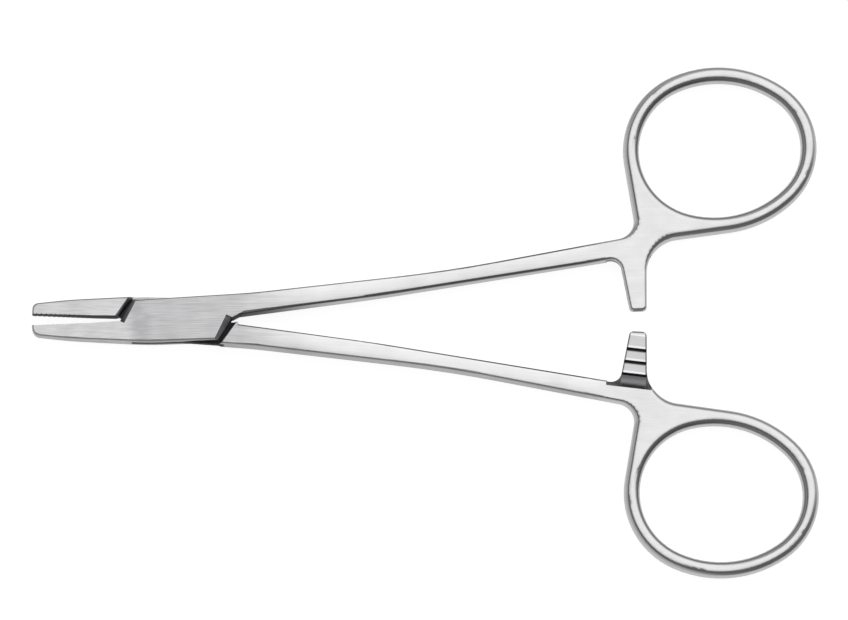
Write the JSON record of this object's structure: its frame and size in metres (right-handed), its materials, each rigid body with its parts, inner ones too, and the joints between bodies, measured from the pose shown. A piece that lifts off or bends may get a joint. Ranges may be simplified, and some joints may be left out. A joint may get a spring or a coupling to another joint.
{
  "type": "surgical needle holder",
  "caption": "Box-lock needle holder with short straight jaws, slim shanks, a finger ratchet and two oval finger rings.",
  "frame": {"origin": "on the pivot pin's axis, at the back face of the box, which rests on the table", "axes": "+X from the pivot to the finger rings, +Y to the slotted half's ring, +Z to the front face"},
  "size_m": [0.1245, 0.0818, 0.0042],
  "materials": {
    "forged_steel": "satin ground stainless steel with polished edges",
    "pin_steel": "stainless steel pin, riveted and ground flush with the box"
  },
  "bodies": {
    "slotted_side": {"slotted_half": "forged_steel", "pivot_pin": "pin_steel"},
    "tongue_side": {"tongue_half": "forged_steel"}
  },
  "joints": [
    {"name": "box_lock", "type": "hinge", "parent": "slotted_side", "child": "tongue_side", "pos_m": [0, 0, 0], "axis": [0, 0, -1], "range_deg": [-4.45, 45]}
  ]
}
